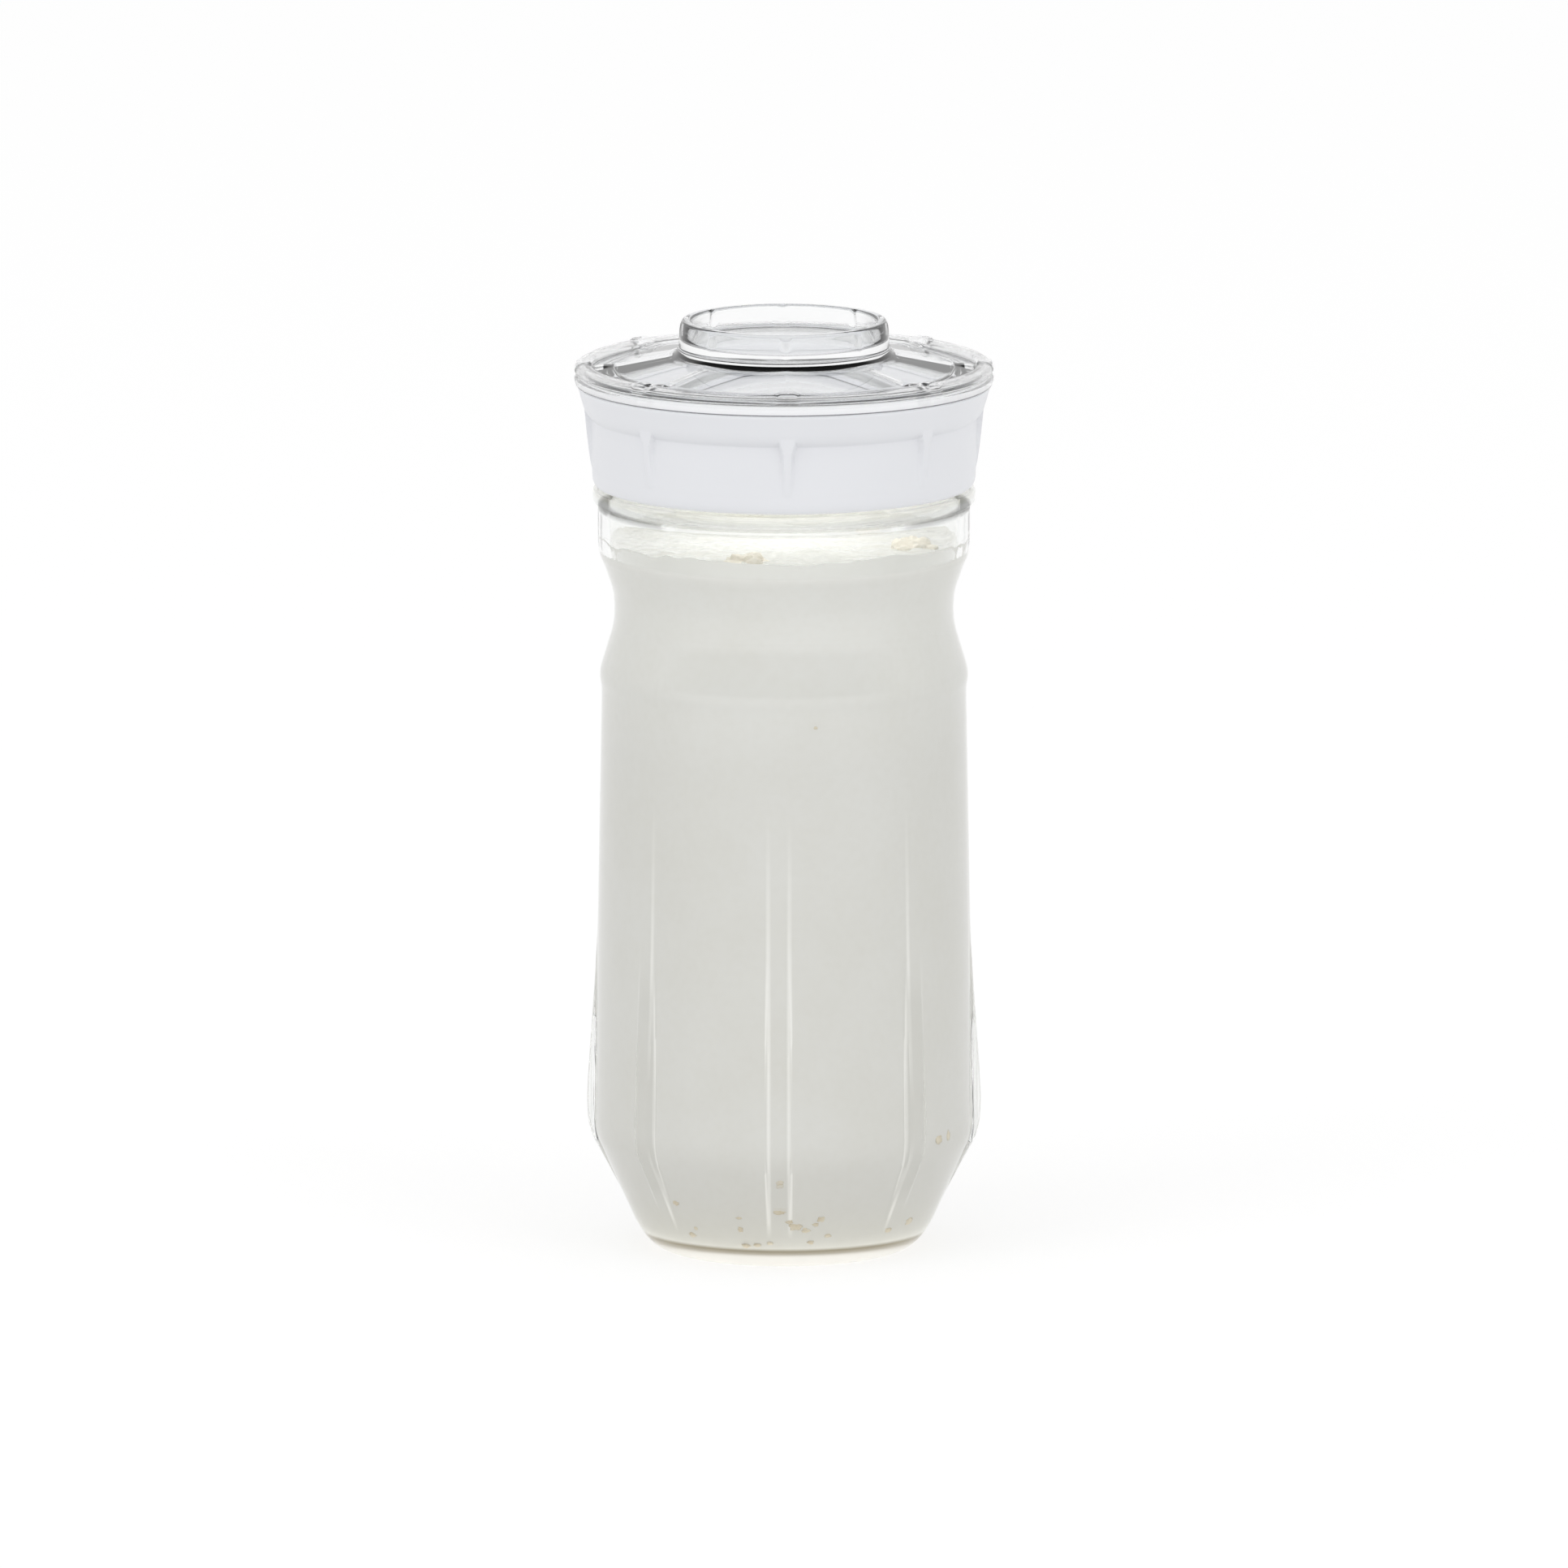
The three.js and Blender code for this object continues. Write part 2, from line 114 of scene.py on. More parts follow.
# Rows of slots: radius and number of slots
SLOT_ROWS = [(14, 6), (25, 12)]
SKIRT_BORE = 48.4
LID_THREAD_LOW = 209.6
LID_THREAD_TURNS = 1.5
LID_THREAD_DEPTH = 0.5
LID_LOW = 205.6
LID_RIB_LOW = 210.5
LID_RIB_TOP = 226.0
LID_RIB_HEIGHT = 2.0
LEDGE_RADIUS = 51.0
WEB_LOW = 226.4
WEB_TOP = 228.6
WEB_BORE = 43.0
PLUG_BORE = 50.0
LID_TOP = 232.5
UPSTAND_BORE = 52.4
UPSTAND_RADIUS = 53.8
UPSTAND_TOP = 235.0

# Clear cover
RING_TOP = 250.0
RING_RADIUS = 27.2
RING_BORE = 24.8
RECESS_FLOOR = 244.0
RECESS_UNDER = 239.6
FLANGE_TOP = (28.0, 240.8)
FLANGE_SLOPE = 4.8 / 24.2
FLANGE_WALL = 1.3
PLUG_LOW = 228.9
PLUG_RADIUS = 47.5
PLUG_INNER = 45.2
CHANNEL_INNER = 52.1
CHANNEL_OUTER = 54.1
CHANNEL_TOP = 237.4
RIM_LOW = 232.8
RIM_RADIUS = 55.4
RIM_GROOVE = 55.05
RIDGE_RADIUS = 55.35
RIDGE_TOP = 238.7
BORDER_RADIUS = 50.8


# Outlines

def bend(points, control, end, steps=12):
    """Adds a curve from the last point to end, drawn towards control."""
    start = points[-1]
    for i in range(1, steps + 1):
        t = i / steps
        a, b, c = (1 - t) ** 2, 2 * t * (1 - t), t * t
        points.append(tuple(a * start[k] + b * control[k] + c * end[k] for k in range(2)))


def rounded(corners, steps=6):
    """Closed outline from corners of radius, height and rounding."""
    points = []
    for i, (r, z, cut) in enumerate(corners):
        if cut == 0:
            points.append((r, z))
            continue
        corner = Vector((r, z))
        before = Vector(corners[i - 1][:2]) - corner
        after = Vector(corners[(i + 1) % len(corners)][:2]) - corner
        first = corner + before.normalized() * cut
        last = corner + after.normalized() * cut
        points.append(tuple(first))
        bend(points, (r, z), tuple(last), steps)
    return points


def spaced(points, gap, closed=False):
    """The outline with points added so that no side is longer than gap."""
    ends = points[1:] + points[:1] if closed else points[1:]
    made = []
    for (r0, z0), (r1, z1) in zip(points, ends):
        count = max(1, math.ceil(math.hypot(r1 - r0, z1 - z0) / gap))
        made += [(r0 + (r1 - r0) * k / count, z0 + (z1 - z0) * k / count) for k in range(count)]
    return made if closed else made + [points[-1]]


def softened(points, rounds):
    """An open outline whose corners are eased, with its ends kept."""
    for _ in range(rounds):
        inner = [
            ((a[0] + 2 * b[0] + c[0]) / 4, (a[1] + 2 * b[1] + c[1]) / 4)
            for a, b, c in zip(points, points[1:], points[2:])
        ]
        points = [points[0], *inner, points[-1]]
    return points


def smooth_at(points, x):
    """Value at x of a smooth line through points of place and value, level past both ends."""
    if x <= points[0][0]:
        return points[0][1]
    if x >= points[-1][0]:
        return points[-1][1]
    i = max(k for k in range(len(points) - 1) if points[k][0] <= x)
    (x0, y0), (x1, y1) = points[i], points[i + 1]

    def slope(k):
        if k == 0 or k == len(points) - 1:
            return 0.0
        return (points[k + 1][1] - points[k - 1][1]) / (points[k + 1][0] - points[k - 1][0])

    h = x1 - x0
    t = (x - x0) / h
    t2, t3 = t * t, t * t * t
    return (
        (2 * t3 - 3 * t2 + 1) * y0
        + (t3 - 2 * t2 + t) * h * slope(i)
        + (3 * t2 - 2 * t3) * y1
        + (t3 - t2) * h * slope(i + 1)
    )


def ease(t):
    """0 to 1, level at both ends."""
    t = min(1.0, max(0.0, t))
    return t * t * (3 - 2 * t)


def from_rib(angle, turn=0.0):
    """Angle from the nearest rib."""
    return abs((angle - turn + STEP / 2) % STEP - STEP / 2)


def thread(z, angle, start, turns):
    """How far a screw thread stands out at a height and angle, from 0 to 1, fading at both ends."""
    found = 0.0
    for lap in range(math.ceil(turns)):
        t = (angle % FULL_TURN) / FULL_TURN + lap
        across = abs(z - start - THREAD_PITCH * t) / THREAD_HALF
        if t <= turns and across < 1:
            ends = ease(min(t, turns - t) / 0.05)
            found = max(found, ends * ease(1.35 * (1 - across)))
    return found


# Meshes

def even_angles(count):
    """Angles round the axis, all the same distance apart."""
    return [FULL_TURN * k / count for k in range(count)]


def rib_angles(turn=0.0, close=11, wide=14, reach=math.radians(5.6)):
    """Angles round the axis, close together at each rib and wider between them."""
    made = []
    for rib in range(RIBS):
        middle = rib * STEP + turn
        made += [middle - reach + reach * k / close for k in range(2 * close)]
        gap = STEP - 2 * reach
        made += [middle + reach + gap * k / wide for k in range(wide)]
    return made


def finish_mesh(name, mesh, body, stands_for, material, sharp=38):
    """A named object from a mesh, on its body and in place of its CAD nodes."""
    shape = bmesh.new()
    shape.from_mesh(mesh)
    bmesh.ops.recalc_face_normals(shape, faces=shape.faces)
    shape.to_mesh(mesh)
    shape.free()
    mesh.shade_smooth()
    mesh.set_sharp_from_angle(angle=math.radians(sharp))
    mesh.materials.append(material)
    piece = bpy.data.objects.new(name, mesh)
    bpy.context.scene.collection.objects.link(piece)
    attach(piece, body)
    if stands_for:
        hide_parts(stands_for)


def turned(name, outline, closed, columns, shape=None):
    """Mesh of an outline turned about the axis. shape moves a point, given its radius, height and angle."""
    points, faces, rows = [], [], []
    count = len(columns)
    for r, z in outline:
        if r < 1e-6:
            rows.append([len(points)] * count)
            points.append(Vector((0, 0, z)) * MM)
            continue
        rows.append(range(len(points), len(points) + count))
        for angle in columns:
            rr, zz = shape(r, z, angle) if shape else (r, z)
            points.append(Vector((rr * math.cos(angle), rr * math.sin(angle), zz)) * MM)
    pairs = list(zip(rows, rows[1:]))
    if closed:
        pairs.append((rows[-1], rows[0]))
    for low, high in pairs:
        for k in range(count):
            n = (k + 1) % count
            loop = [low[k], low[n], high[n], high[k]]
            faces.append([v for i, v in enumerate(loop) if v != loop[i - 1]])
    mesh = bpy.data.meshes.new(name)
    mesh.from_pydata(points, [], faces)
    return mesh


# Nodes

WHITE = (1.0, 1.0, 1.0)


def grey(level):
    """A grey colour."""
    return (level, level, level)


def shader(name):
    """A new material with its node tree and main shader."""
    material = bpy.data.materials.new(name)
    material.use_nodes = True
    tree = material.node_tree
    return material, tree, tree.nodes["Principled BSDF"]


def speckle(tree, scale, detail=3.0):
    """Noise in the object's own space, at so many features to the metre."""
    place = tree.nodes.new("ShaderNodeTexCoord")
    made = tree.nodes.new("ShaderNodeTexNoise")
    made.inputs["Scale"].default_value = scale
    made.inputs["Detail"].default_value = detail
    tree.links.new(place.outputs["Object"], made.inputs["Vector"])
    return made.outputs["Fac"]


def ramp(tree, source, stops):
    """Colours along a value."""
    made = tree.nodes.new("ShaderNodeValToRGB")
    line = made.color_ramp.elements
    while len(line) < len(stops):
        line.new(0.5)
    for stop, (place, colour) in zip(line, stops):
        stop.position = place
        stop.color = (*colour, 1)
    tree.links.new(source, made.inputs["Fac"])
    return made.outputs["Color"]


def mapped(tree, source, low, high, first, last):
    """A value that goes from first to last while its source goes from low to high."""
    made = tree.nodes.new("ShaderNodeMapRange")
    made.inputs["From Min"].default_value = low
    made.inputs["From Max"].default_value = high
    made.inputs["To Min"].default_value = first
    made.inputs["To Max"].default_value = last
    tree.links.new(source, made.inputs["Value"])
    return made.outputs["Result"]


def between(tree, source, low, high, first, last):
    """As mapped, for a source in metres, with low and high in millimetres."""
    return mapped(tree, source, low * MM, high * MM, first, last)


def spread(tree, source, low, high):
    """The middle of a noise, spread from low to high."""
    return mapped(tree, source, 0.3, 0.7, low, high)


def maths(tree, how, first, second=0.0):
    """A sum, product or other reckoning with two values, each a socket or a number."""
    made = tree.nodes.new("ShaderNodeMath")
    made.operation = how
    for socket, value in zip(made.inputs, (first, second)):
        if isinstance(value, float):
            socket.default_value = value
        else:
            tree.links.new(value, socket)
    return made.outputs[0]


def larger(tree, first, second):
    """The larger of two values."""
    return maths(tree, "MAXIMUM", first, second)


def product(tree, first, second):
    """Two values multiplied."""
    return maths(tree, "MULTIPLY", first, second)


def mixed(tree, how, share, first, second):
    """Two colours mixed by a share, which is a number or a socket."""
    made = tree.nodes.new("ShaderNodeMix")
    made.data_type = "RGBA"
    made.blend_type = how
    if isinstance(share, float):
        made.inputs[0].default_value = share
    else:
        tree.links.new(share, made.inputs[0])
    tree.links.new(first, made.inputs[6])
    tree.links.new(second, made.inputs[7])
    return made.outputs[2]


def toned(tree, first, second):
    """Two colours multiplied."""
    return mixed(tree, "MULTIPLY", 1.0, first, second)


def bumps(tree, main, source, strength, distance):
    """Relief on a main shader."""
    made = tree.nodes.new("ShaderNodeBump")
    made.inputs["Strength"].default_value = strength
    made.inputs["Distance"].default_value = distance * MM
    tree.links.new(source, made.inputs["Height"])
    tree.links.new(made.outputs["Normal"], main.inputs["Normal"])


def own_place(tree):
    """Distance from the axis and height of a point in the object's own space."""
    place = tree.nodes.new("ShaderNodeTexCoord")
    level = tree.nodes.new("ShaderNodeVectorMath")
    level.operation = "MULTIPLY"
    level.inputs[1].default_value = (1, 1, 0)
    length = tree.nodes.new("ShaderNodeVectorMath")
    length.operation = "LENGTH"
    split = tree.nodes.new("ShaderNodeSeparateXYZ")
    tree.links.new(place.outputs["Object"], level.inputs[0])
    tree.links.new(level.outputs[0], length.inputs[0])
    tree.links.new(place.outputs["Object"], split.inputs[0])
    return length.outputs["Value"], split.outputs["Z"]


def height_in(tree, low, high):
    """0 to 1 between two heights."""
    _, up = own_place(tree)
    return between(tree, up, low, high, 0.0, 1.0)


def either(tree, share, first, second):
    """The first shader where share is 0 and the second where it is 1."""
    mix = tree.nodes.new("ShaderNodeMixShader")
    tree.links.new(share, mix.inputs["Fac"])
    tree.links.new(first.outputs[0], mix.inputs[1])
    tree.links.new(second.outputs[0], mix.inputs[2])
    return mix


def seen_ray(tree):
    """1 for what the camera sees directly, in a reflection or through glass."""
    path = tree.nodes.new("ShaderNodeLightPath").outputs
    mirrored = larger(tree, path["Is Camera Ray"], path["Is Glossy Ray"])
    return larger(tree, mirrored, path["Is Transmission Ray"])


# Materials

def clear(name, tint, wave, straight, thick=None, foot=None):
    """Clear glass or plastic that lets lamps through, with slight waves and haze.

    straight gives the share of light that goes straight on, so that long paths inside don't end black.
    thick is the height in millimetres above which the piece is thick and takes a warm tint.
    foot is the height in millimetres below which its outer edge is painted dark, as a painted shade line.
    """
    haze = 0.004
    material, tree, main = shader(name)
    main.inputs["Transmission Weight"].default_value = 1.0
    main.inputs["IOR"].default_value = 1.5
    tone = ramp(tree, speckle(tree, 30), [(0.3, [c * 0.996 for c in tint]), (0.7, tint)])
    out, up = own_place(tree)
    if thick:
        upper = between(tree, up, thick - 0.4, thick + 0.4, 0.0, 1.0)
        tone = toned(tree, tone, ramp(tree, upper, [(0.0, WHITE), (1.0, (0.88, 0.865, 0.78))]))
    # Painted shade: a dark line painted along the lower outer edge, below the foot height
    if foot:
        low = between(tree, up, foot - 0.1, foot, 1.0, 0.0)
        edge = product(tree, low, between(tree, out, 54.3, 54.5, 0.0, 1.0))
        tone = toned(tree, tone, ramp(tree, edge, [(0.0, WHITE), (1.0, (0.08, 0.08, 0.09))]))
    tree.links.new(tone, main.inputs["Base Color"])
    tree.links.new(spread(tree, speckle(tree, 160), haze * 0.6, haze * 1.4), main.inputs["Roughness"])
    bumps(tree, main, speckle(tree, 60, 1.0), wave, 1.0)
    open_way = tree.nodes.new("ShaderNodeBsdfTransparent")
    open_way.inputs["Color"].default_value = (*[c ** 0.5 for c in tint], 1)
    path = tree.nodes.new("ShaderNodeLightPath").outputs
    lamps = larger(tree, path["Is Shadow Ray"], path["Is Diffuse Ray"])
    mix = either(tree, larger(tree, lamps, straight(tree)), main, open_way)
    tree.links.new(mix.outputs[0], tree.nodes["Material Output"].inputs["Surface"])
    return material


def cover_straight(tree):
    """Straight light in the cover's rim."""
    out, _ = own_place(tree)
    return between(tree, out, 49.0, 51.0, 0.0, 0.12)


def jar_straight(tree):
    """Straight light in the jar's bead and in the proud part of its ribs."""
    out, up = own_place(tree)
    upper = between(tree, up, WALL_LOW, WALL_TOP[1], WALL_RADIUS * MM, WALL_TOP[0] * MM)
    heel = between(tree, up, HEEL_LOW[1], 31, HEEL_LOW[0] * MM, 50.5 * MM)
    wall = maths(tree, "MINIMUM", upper, heel)
    proud = between(tree, maths(tree, "SUBTRACT", out, wall), 0.15, 0.5, 0.0, 0.6)
    ribs = product(tree, proud, between(tree, up, 88, 94, 1.0, 0.0))
    return larger(tree, between(tree, up, 199.0, COLLAR_TOP, 0.0, 0.5), ribs)


def painted_rib_light(tree):
    """Painted light on the kefir: 1 where the ribs of the jar gather light, beside every second rib and behind
    those between them.
    """
    place = tree.nodes.new("ShaderNodeTexCoord")
    split = tree.nodes.new("ShaderNodeSeparateXYZ")
    tree.links.new(place.outputs["Object"], split.inputs[0])
    angle = maths(tree, "ARCTAN2", split.outputs["Y"], split.outputs["X"])
    turn = maths(tree, "PINGPONG", angle, STEP)
    out, up = own_place(tree)
    beside = maths(tree, "SUBTRACT", product(tree, turn, out), 2.75 * MM)
    behind = product(tree, maths(tree, "SUBTRACT", turn, STEP), out)
    off = maths(tree, "MINIMUM", maths(tree, "ABSOLUTE", beside), maths(tree, "ABSOLUTE", behind))
    near = between(tree, off, 0.2, 0.8, 1.0, 0.0)
    low = between(tree, up, 9.0, 14.0, 0.0, 1.0)
    high = between(tree, up, 60.0, 125.0, 1.0, 0.0)
    return product(tree, near, product(tree, low, high))


def milk_material():
    """Kefir: cream white, slightly mottled, with painted light and shade: a brown painted shade line round its
    floor, darker towards the bottom, brighter near the top, darker at grazing edges, and pale painted light
    lines by the ribs.
    """
    material, tree, main = shader("kefir")
    curd = ramp(tree, speckle(tree, 40, 4), [(0.35, (0.755, 0.75, 0.718)), (0.65, (0.773, 0.77, 0.745))])
    fine = ramp(tree, speckle(tree, 500, 2), [(0.3, (0.985, 0.983, 0.978)), (0.6, WHITE)])
    # Painted light and shade by height: a brown shade line round the floor, darker towards the bottom,
    # brighter near the top
    painted_light_by_height = ramp(
        tree,
        height_in(tree, 4, 204),
        [
            (0.000, (1.0, 1.0, 1.03)),
            (0.003, (1.0, 1.0, 1.03)),
            (0.0042, (0.20, 0.15, 0.06)),
            (0.0075, (0.22, 0.17, 0.07)),
            (0.0105, (0.86, 0.845, 0.79)),
            (0.08, (0.90, 0.89, 0.865)),
            (0.16, (0.945, 0.94, 0.925)),
            (0.66, (0.95, 0.947, 0.935)),
            (0.76, (1.0, 1.0, 0.99)),
            (0.85, (1.03, 1.03, 1.02)),
        ],
    )
    # Painted shade: the kefir is darker where its surface is seen edge-on
    facing = tree.nodes.new("ShaderNodeLayerWeight")
    facing.inputs["Blend"].default_value = 0.5
    edge = ramp(tree, facing.outputs["Facing"], [(0.06, WHITE), (0.28, (0.93, 0.93, 0.925))])
    # Painted light: pale lines on the kefir where the jar's ribs gather light
    painted_rib_glow = ramp(tree, painted_rib_light(tree), [(0.0, WHITE), (1.0, (1.3, 1.3, 1.32))])
    tone = curd
    for part in (fine, painted_light_by_height, edge, painted_rib_glow):
        tone = toned(tree, tone, part)
    tree.links.new(tone, main.inputs["Base Color"])
    wet = ramp(tree, height_in(tree, 185, 190), [(0.0, grey(0.5)), (1.0, grey(0.1))])
    tree.links.new(wet, main.inputs["Roughness"])
    bumps(tree, main, speckle(tree, 350, 3), 0.05, 0.6)
    return material


def grain_material(name, pale, deep):
    """Kefir grain: beige, lumpy and a little shiny."""
    material, tree, main = shader(name)
    tone = ramp(tree, speckle(tree, 260, 4), [(0.3, deep), (0.65, pale)])
    tree.links.new(tone, main.inputs["Base Color"])
    tree.links.new(spread(tree, speckle(tree, 500), 0.3, 0.6), main.inputs["Roughness"])
    bumps(tree, main, speckle(tree, 900, 3), 0.5, 0.5)
    return material


def plastic_material():
    """White moulded plastic, faintly blue and finely grained, with painted shade in its creases and a painted
    glow where daylight would come through it.
    """
    material, tree, main = shader("white_plastic")
    tone = ramp(tree, speckle(tree, 24, 2), [(0.3, (0.825, 0.835, 0.865)), (0.7, (0.84, 0.85, 0.88))])
    # Painted shade: creases are darkened by the occlusion of the piece's own shape
    crease = tree.nodes.new("ShaderNodeAmbientOcclusion")
    crease.only_local = True
    crease.inputs["Distance"].default_value = 5 * MM
    shade = ramp(tree, crease.outputs["AO"], [(0.35, (0.80, 0.80, 0.81)), (0.95, WHITE)])
    tree.links.new(toned(tree, tone, shade), main.inputs["Base Color"])
    # A painted glow, not a lamp, shows inside the skirt, in the middle of the strainer, and on the lid's top
    # and upstand, where daylight would come through
    main.inputs["Emission Color"].default_value = (1.0, 0.96, 0.85, 1)
    out, up = own_place(tree)
    below_web = between(tree, up, 225.2, 225.6, 0.10, 0.0)
    skirt = product(tree, between(tree, out, 49.8, 50.5, 1.0, 0.0), below_web)
    middle = between(tree, out, 24.0, 32.0, 0.10, 0.0)
    above_band = between(tree, up, 232.3, 232.6, 0.0, 0.13)
    top = product(tree, above_band, between(tree, out, 53.9, 54.0, 1.0, 0.0))
    daylight = larger(tree, larger(tree, skirt, middle), top)
    tree.links.new(daylight, main.inputs["Emission Strength"])
    tree.links.new(spread(tree, speckle(tree, 420), 0.3, 0.42), main.inputs["Roughness"])
    bumps(tree, main, speckle(tree, 1600, 2), 0.08, 0.2)
    return material


def silicone_material():
    """Pale soft silicone."""
    material, tree, main = shader("silicone")
    tone = ramp(tree, speckle(tree, 90, 2), [(0.3, (0.70, 0.71, 0.70)), (0.7, (0.77, 0.78, 0.77))])
    tree.links.new(tone, main.inputs["Base Color"])
    tree.links.new(spread(tree, speckle(tree, 600), 0.5, 0.7), main.inputs["Roughness"])
    bumps(tree, main, speckle(tree, 1200, 2), 0.15, 0.3)
    return material


# Glass jar

def jar_side(inset):
    """Side of the jar from the knee to the top of the collar, moved in by inset."""
    points = [KNEE]
    bend(points, (WALL_RADIUS, 30.93), (WALL_RADIUS, WALL_LOW))
    points.append(WALL_TOP)
    bend(points, (49.5, 154.5), (48.5, 157.5))
    points.append((45.6, 167.0))
    bend(points, (44.6, 172.5), (45.6, 178.0))
    points.append((48.2, 185.4))
    bend(points, (COLLAR_RADIUS, 186.7), (COLLAR_RADIUS, 192.95))
    points.append((COLLAR_RADIUS, COLLAR_TOP))
    return [(r - inset, z) for r, z in points]


def heel_at(z):
    """Radius of the heel's slope."""
    return HEEL_LOW[0] + (z - HEEL_LOW[1]) * HEEL_SLOPE


def hollow(inset, floor):
    """Hollow of the jar from the middle of its floor to the top of its collar."""
    points = [(0.0, floor), (heel_at(floor) - inset - FLOOR_BEND, floor)]
    bend(points, (heel_at(floor) - inset, floor), (heel_at(floor + FLOOR_BEND) - inset, floor + FLOOR_BEND))
    return points + jar_side(inset)


def make_jar(material):
    """Glass jar with its push-up, rounded foot, ribs, waist, collar, bead and thread."""
    foot = [(0.0, 1.2), (30.6, 1.2)]
    bend(foot, (31.3, 0.9), (31.6, 0.0), 4)
    foot.append((32.4, 0.0))
    bend(foot, (36.2, 0.6), (39.9, 7.7), 14)
    side = softened(spaced(foot[-1:] + jar_side(0), 2.0), 2)
    bead = [(COLLAR_RADIUS, COLLAR_TOP)]
    bend(bead, (49.8, 201.3), (50.4, 201.4), 4)
    bend(bead, (BEAD_RADIUS, 201.5), (BEAD_RADIUS, 202.2), 6)
    bead.append((BEAD_RADIUS, 203.8))
    bend(bead, (BEAD_RADIUS, BEAD_TOP), (49.8, BEAD_TOP), 8)
    bead.append((47.4, BEAD_TOP))
    bend(bead, (FINISH_RADIUS, BEAD_TOP), (FINISH_RADIUS, FINISH_LOW), 5)
    finish = spaced([(FINISH_RADIUS, FINISH_LOW), (FINISH_RADIUS, 220.4)], 0.6)
    bend(finish, (FINISH_RADIUS, RIM_TOP), (45.0, RIM_TOP), 6)
    finish.append((44.0, RIM_TOP))
    bend(finish, (MOUTH_RADIUS, RIM_TOP), (MOUTH_RADIUS, 220.6), 6)
    neck = list(reversed(softened(spaced(hollow(GLASS_WALL, JAR_FLOOR), 2.0), 2)))
    mouth = [(MOUTH_RADIUS, 220.6), (MOUTH_RADIUS, 206.5)]
    bend(mouth, (MOUTH_RADIUS, COLLAR_TOP), neck[0], 14)
    outline = foot[:-1] + side + bead[1:] + finish[1:] + mouth[1:] + neck[1:]

    def shape(r, z, angle):
        on_outside = r > heel_at(min(z, KNEE[1])) - GLASS_WALL / 2
        if RIB_HEIGHT[0][0] < z < RIB_HEIGHT[-1][0] and on_outside:
            off = from_rib(angle) * r
            r += smooth_at(RIB_HEIGHT, z) * ease((RIB_HALF - off) / RIB_FLANK)
        if FINISH_LOW < z < 220.5 and r > 45:
            r += thread(z, angle, JAR_THREAD_LOW, JAR_THREAD_TURNS)
        return r, z

    mesh = turned("jar_glass", outline, False, rib_angles(wide=10), shape)
    finish_mesh("jar_glass", mesh, "jar", "glass_jar", material)


# Kefir, grains and crumbs

def lumps(x, y, size, seed):
    """Soft uneven height over the kefir's surface, about -1 to 1."""
    return noise.noise(Vector((x / size, y / size, seed))) * 1.6


def make_milk(material):
    """Kefir that fills the jar, with an uneven surface that creeps up the glass."""
    inset = GLASS_WALL - MILK_OVERLAP
    outline = softened(spaced(hollow(inset, JAR_FLOOR - MILK_OVERLAP), 1.5), 4)
    wall = [p for p in outline if p[1] < MILK_LEVEL - MILK_EASE]
    edge = MILK_COLLAR - inset
    top = [(edge, MILK_LEVEL + MILK_CREEP)]
    side = spaced([wall[-1], top[0]], 0.6)
    bend(top, (edge - 0.6, MILK_LEVEL), (edge - MILK_EASE, MILK_LEVEL), 6)
    top = spaced(top + [(2.0, MILK_LEVEL)], 0.8)
    outline = wall[:-1] + side[:-1] + top + [(0.0, MILK_LEVEL)]

    def shape(r, z, angle):
        x, y = r * math.cos(angle), r * math.sin(angle)
        rise = ease((z - MILK_LEVEL + MILK_EASE) / MILK_EASE)
        if rise > 0:
            z += rise * sum(high * lumps(x, y, size, seed) for high, size, seed in MILK_WAVES)
        return r, z

    mesh = turned("kefir_body", outline, False, even_angles(220), shape)
    finish_mesh("kefir_body", mesh, "jar", "kefir_milk", material)


def make_grain(index, material):
    """A floating grain: a lumpy cluster of small lobes."""
    low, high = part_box(f"kefir_grain_{index}")
    middle = (low + high) / 2
    half = (high - low) / 2
    shape = bmesh.new()
    bmesh.ops.create_icosphere(shape, subdivisions=5, radius=1.0)
    for v in shape.verts:
        way = v.co.normalized()
        cells = noise.voronoi(way * 2.3 + Vector((index * 5.1, 0, 0)))[0]
        small = noise.voronoi(way * 6.0 + Vector((0, index * 3.7, 0)))[0]
        size = 0.98 - 0.34 * cells[0] - 0.12 * small[0]
        v.co = Vector((way.x * half.x, way.y * half.y, way.z * half.z)) * size + middle
    mesh = bpy.data.meshes.new(f"grain_{index}")
    shape.to_mesh(mesh)
    shape.free()
    finish_mesh(f"grain_{index}", mesh, "jar", f"kefir_grain_{index}", material, 180)


def on_glass(x, z):
    """Point on the inner face of the glass that shows at a distance x from the axis, and its outward way."""
    on_heel = z < KNEE[1]
    outer = heel_at(z) if on_heel else WALL_RADIUS
    inner = outer - GLASS_WALL
    bent = x / SEEN_BEND
    angle = math.asin(x / outer) - math.asin(bent / outer) + math.asin(max(-1, min(1, bent / inner)))
    angle -= math.pi / 2
    way = Vector((math.cos(angle), math.sin(angle), -CRUMB_LEAN if on_heel else 0.0)).normalized()
    return Vector((inner * math.cos(angle), inner * math.sin(angle), z)), way


def make_crumbs(material):
    """Small bits of grain that lie against the glass near the floor."""
    shape = bmesh.new()
    for i, (x, z, wide, tall) in enumerate(CRUMBS):
        place, way = on_glass(x, z)
        turn = way.to_track_quat("Z", "Y").to_matrix()
        ball = bmesh.ops.create_icosphere(shape, subdivisions=3, radius=1.0)
        for v in ball["verts"]:
            size = 0.75 + 0.5 * noise.noise(v.co * 1.7 + Vector((i * 4.3, 0, 0)))
            flat = Vector((v.co.x * wide * size, v.co.y * tall * size, v.co.z * CRUMB_THICK))
            v.co = (place + turn @ flat) * MM
    mesh = bpy.data.meshes.new("grain_crumbs")
    shape.to_mesh(mesh)
    shape.free()
    finish_mesh("grain_crumbs", mesh, "jar", None, material, 180)


# Lid

